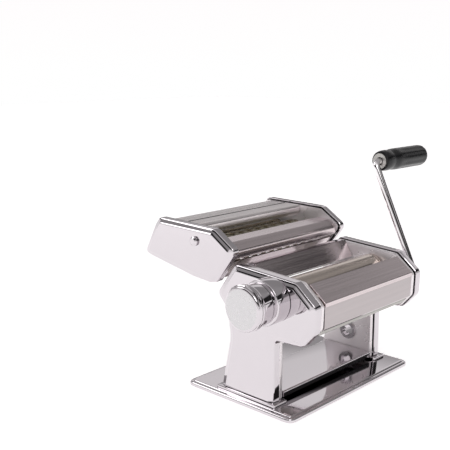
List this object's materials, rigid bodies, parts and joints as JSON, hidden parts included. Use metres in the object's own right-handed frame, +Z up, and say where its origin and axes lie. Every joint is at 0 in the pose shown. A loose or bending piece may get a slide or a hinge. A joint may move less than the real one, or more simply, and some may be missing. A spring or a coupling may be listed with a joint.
{
  "type": "pasta_roller_machine",
  "caption": "Hand-cranked chrome pasta roller machine with thickness knob, clip-on two-width cutting head and removable crank",
  "frame": {"origin": "centre of the base plate underside, at rest height; the flat base underside is z = 0", "axes": "X along the rollers with the crank at +X and the knob at -X; Y from the front (-Y) to the cutting head (+Y); Z up"},
  "size_m": [0.3365, 0.2231, 0.2255],
  "materials": {
    "shell_chrome": "polished chrome plate",
    "brushed_cover": "fine brushed sheet steel",
    "roller_steel": "smooth ground roller surface",
    "cutting_steel": "turned steel",
    "plain_steel": "plain machined steel",
    "bush_plastic": "natural nylon",
    "grip_plastic": "satin black moulded plastic"
  },
  "bodies": {
    "drive_roller": {"drive_roller": "roller_steel", "drive_gear": "plain_steel"},
    "regulator": {"regulator_shaft": "plain_steel", "knob_spring": "plain_steel"},
    "adjust_roller": {"adjust_roller": "roller_steel", "adjust_gear": "plain_steel"},
    "roller_carriage": {"adjust_bush_right": "bush_plastic", "adjust_bush_left": "bush_plastic"},
    "knob": {"knob_body": "shell_chrome", "knob_dome": "shell_chrome", "index_pin": "plain_steel"},
    "crank": {"crank_rod": "shell_chrome", "grip_washer": "plain_steel"},
    "grip": {"crank_grip": "grip_plastic"},
    "cutting_head": {"cutter_right_cheek": "shell_chrome", "cutter_left_cheek": "shell_chrome", "cutter_right_web": "shell_chrome", "cutter_left_web": "shell_chrome", "cutter_screw_right": "shell_chrome", "cutter_screw_left": "shell_chrome", "cutter_front_cover": "brushed_cover", "cutter_middle_cover": "brushed_cover", "cutter_rear_cover": "brushed_cover", "cutter_carrier_plate": "brushed_cover", "wide_comb_front": "brushed_cover", "wide_comb_rear": "brushed_cover", "narrow_comb_front": "brushed_cover", "narrow_comb_rear": "brushed_cover", "cutter_tie_rod": "plain_steel", "left_slide_shoe": "plain_steel", "right_slide_shoe": "plain_steel"},
    "wide_cutter_front": {"wide_cutter_front": "cutting_steel", "wide_cutter_front_gear": "plain_steel"},
    "wide_cutter_rear": {"wide_cutter_rear": "cutting_steel", "wide_cutter_rear_gear": "plain_steel"},
    "narrow_cutter_front": {"narrow_cutter_front": "cutting_steel", "narrow_cutter_front_gear": "plain_steel"},
    "narrow_cutter_rear": {"narrow_cutter_rear": "cutting_steel", "narrow_cutter_rear_gear": "plain_steel"},
    "machine_frame": {"clamp_socket_bush": "shell_chrome", "base_plate": "shell_chrome", "cross_bridge": "shell_chrome", "left_side_shell": "shell_chrome", "right_side_shell": "shell_chrome", "left_bearing_plate": "shell_chrome", "right_bearing_plate": "shell_chrome", "front_panel": "shell_chrome", "rear_cover": "shell_chrome", "index_boss": "shell_chrome", "front_cover": "brushed_cover", "hopper_plate": "brushed_cover", "front_scraper": "brushed_cover", "rear_scraper": "brushed_cover", "tie_rod_front": "plain_steel", "tie_rod_rear": "plain_steel", "tie_rod_top": "plain_steel", "drive_bush_right": "bush_plastic", "drive_bush_left": "bush_plastic"}
  },
  "joints": [
    {"name": "drive_spin", "type": "hinge", "parent": "machine_frame", "child": "drive_roller", "pos_m": [0, -0.0655, 0.0978], "axis": [1, 0, 0], "continuous": true},
    {"name": "thickness_turn", "type": "hinge", "parent": "machine_frame", "child": "regulator", "pos_m": [0, -0.037, 0.1085], "axis": [1, 0, 0], "range_deg": [0, 180]},
    {"name": "gap_slide", "type": "slide", "parent": "machine_frame", "child": "roller_carriage", "axis": [0, -1, 0], "range_m": [0, 0.0016]},
    {"name": "adjust_spin", "type": "hinge", "parent": "roller_carriage", "child": "adjust_roller", "pos_m": [0, -0.0362, 0.1085], "axis": [1, 0, 0], "continuous": true},
    {"name": "knob_pull", "type": "slide", "parent": "regulator", "child": "knob", "axis": [-1, 0, 0], "range_m": [0, 0.0026], "stiffness_N_per_m": 400, "springref_m": -0.002},
    {"name": "crank_pull", "type": "slide", "parent": "drive_roller", "child": "crank", "axis": [1, 0, 0], "range_m": [0, 0.03]},
    {"name": "grip_spin", "type": "hinge", "parent": "crank", "child": "grip", "pos_m": [0, -0.011, 0.2135], "axis": [1, 0, 0], "continuous": true},
    {"name": "head_lift", "type": "slide", "parent": "machine_frame", "child": "cutting_head", "axis": [0, -0.6, 0.8], "range_m": [0, 0.06]},
    {"name": "wide_front_spin", "type": "hinge", "parent": "cutting_head", "child": "wide_cutter_front", "pos_m": [0, 0.0445, 0.1365], "axis": [1, 0, 0], "continuous": true},
    {"name": "wide_rear_spin", "type": "hinge", "parent": "cutting_head", "child": "wide_cutter_rear", "pos_m": [0, 0.0655, 0.1365], "axis": [1, 0, 0], "continuous": true},
    {"name": "narrow_front_spin", "type": "hinge", "parent": "cutting_head", "child": "narrow_cutter_front", "pos_m": [0, 0.099, 0.136], "axis": [1, 0, 0], "continuous": true},
    {"name": "narrow_rear_spin", "type": "hinge", "parent": "cutting_head", "child": "narrow_cutter_rear", "pos_m": [0, 0.1186, 0.136], "axis": [1, 0, 0], "continuous": true}
  ],
  "couplings": [
    {"joint": "thickness_turn", "follows": "gap_slide", "rad_per_m": 1963.5},
    {"joint": "adjust_spin", "follows": "drive_spin", "ratio": -1},
    {"joint": "wide_rear_spin", "follows": "wide_front_spin", "ratio": -1},
    {"joint": "narrow_front_spin", "follows": "narrow_rear_spin", "ratio": -1}
  ]
}
